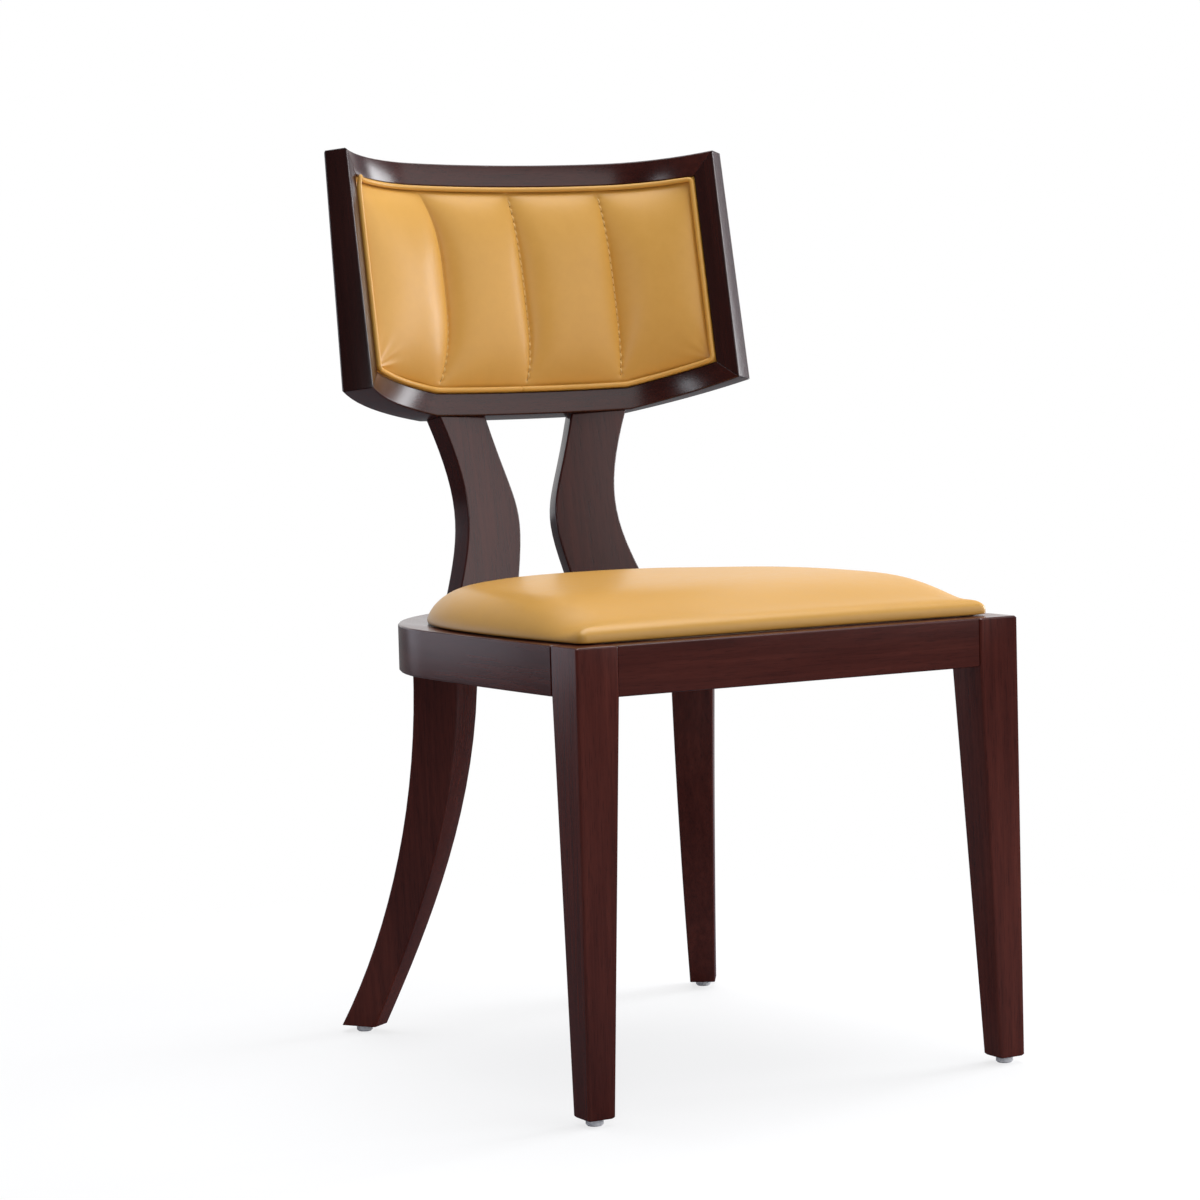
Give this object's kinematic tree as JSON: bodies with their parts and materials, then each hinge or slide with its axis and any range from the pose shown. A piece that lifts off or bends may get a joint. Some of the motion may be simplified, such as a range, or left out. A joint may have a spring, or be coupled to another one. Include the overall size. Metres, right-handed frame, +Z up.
{
  "type": "klismos chair",
  "caption": "Klismos side chair: dark stained wood, bent channelled back cushion on shaped splats, sabre rear legs, upholstered seat.",
  "frame": {"origin": "on the floor, at the centre of the bounding box's base", "axes": "+Z up, -Y towards the front of the seat, +X to the right when the chair is seen from its front"},
  "size_m": [0.514, 0.6043, 0.9361],
  "materials": {
    "stained_wood": "satin",
    "plain_wood": "matte",
    "leather": "satin",
    "foam": "matte",
    "black_cloth": "matte",
    "pale_nylon": "matte",
    "steel": "satin"
  },
  "bodies": {
    "root": {"front_leg_left": "stained_wood", "front_leg_right": "stained_wood", "rear_leg_left": "stained_wood", "rear_leg_right": "stained_wood", "front_rail": "stained_wood", "side_rail_left": "stained_wood", "side_rail_right": "stained_wood", "rear_rail": "stained_wood", "splat_left": "stained_wood", "splat_right": "stained_wood", "back_top_rail": "stained_wood", "back_bottom_rail": "stained_wood", "back_stile_left": "stained_wood", "back_stile_right": "stained_wood", "corner_block_front_left": "plain_wood", "corner_block_front_right": "plain_wood", "corner_block_rear_left": "plain_wood", "corner_block_rear_right": "plain_wood", "seat_board": "plain_wood", "back_board": "plain_wood", "leg_dowel_outer_left": "plain_wood", "leg_dowel_inner_left": "plain_wood", "leg_dowel_outer_right": "plain_wood", "leg_dowel_inner_right": "plain_wood", "seat_cover": "leather", "back_cover": "leather", "back_rear_cover": "leather", "back_piping": "leather", "seat_foam": "foam", "back_foam": "foam", "dust_cover": "black_cloth", "glide_front_left": "pale_nylon", "glide_front_right": "pale_nylon", "glide_rear_left": "pale_nylon", "glide_rear_right": "pale_nylon", "screw_front_left": "steel", "screw_front_right": "steel", "screw_side_left": "steel", "screw_side_right": "steel", "screw_rear_side_left": "steel", "screw_rear_side_right": "steel", "screw_rear_left": "steel", "screw_rear_right": "steel", "seat_screw_front_left": "steel", "seat_screw_front_right": "steel", "seat_screw_rear_left": "steel", "seat_screw_rear_right": "steel", "leg_screw_left": "steel", "leg_screw_right": "steel"}
  },
  "joints": []
}
